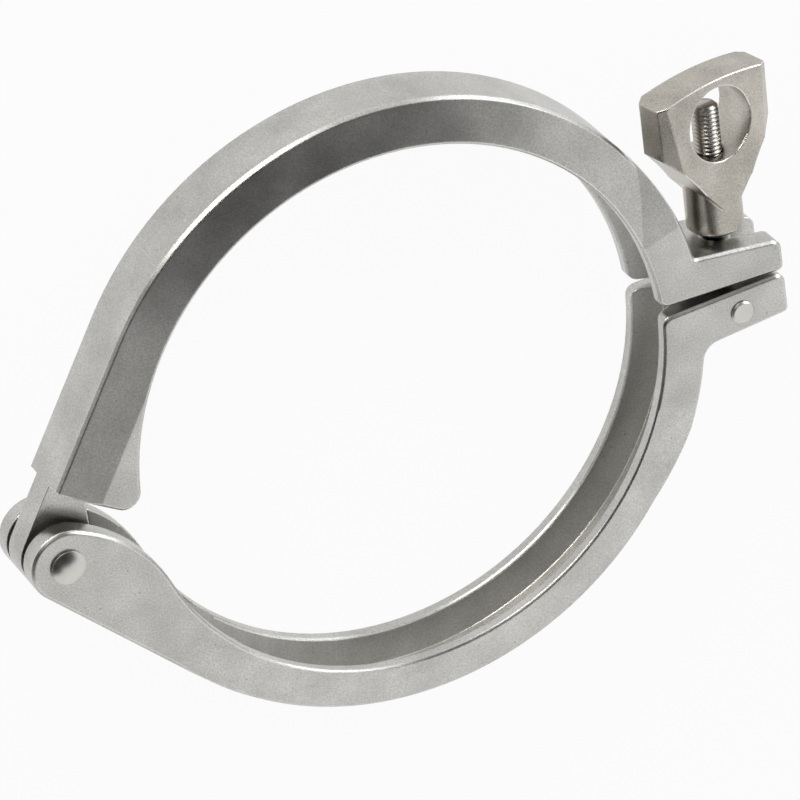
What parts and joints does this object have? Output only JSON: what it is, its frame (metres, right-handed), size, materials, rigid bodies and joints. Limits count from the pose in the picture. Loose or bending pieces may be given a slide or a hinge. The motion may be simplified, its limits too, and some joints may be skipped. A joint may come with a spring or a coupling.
{
  "type": "sanitary hinged clamp",
  "caption": "Ring clamp of two hinged V-groove halves drawn together by an eye bolt and a wing nut, for joining a pair of sanitary tube ferrules.",
  "frame": {"origin": "centre of the ring, in the plane midway between its two faces", "axes": "+Z along the ring's axis, which is the tube's axis, +X from the hinge towards the lugs and the bolt, +Y towards the half that carries the slotted lug, where the wing nut stands"},
  "size_m": [0.238, 0.184, 0.0284],
  "materials": {
    "cast_stainless": "satin",
    "turned_stainless": "bright",
    "nut_stainless": "satin"
  },
  "bodies": {
    "lower": {"lower_half": "cast_stainless", "hinge_pin": "turned_stainless", "bolt_pin": "turned_stainless"},
    "upper": {"upper_half": "cast_stainless"},
    "bolt": {"eye_bolt": "turned_stainless"},
    "nut": {"wing_nut": "nut_stainless"}
  },
  "joints": [
    {"name": "halves_hinge", "type": "hinge", "parent": "lower", "child": "upper", "pos_m": [-0.103, -0.0095, 0], "axis": [0, 0, 1], "range_deg": [0, 110]},
    {"name": "bolt_swing", "type": "hinge", "parent": "lower", "child": "bolt", "pos_m": [0.1033, -0.0067, 0], "axis": [0, 0, -1], "range_deg": [0, 115]},
    {"name": "nut_travel", "type": "slide", "parent": "bolt", "child": "nut", "axis": [0.0209, 0.9998, 0], "range_m": [0, 0.034]}
  ],
  "couplings": [
    {"joint": "halves_hinge", "follows": "nut_travel", "rad_per_m": 4.5}
  ]
}
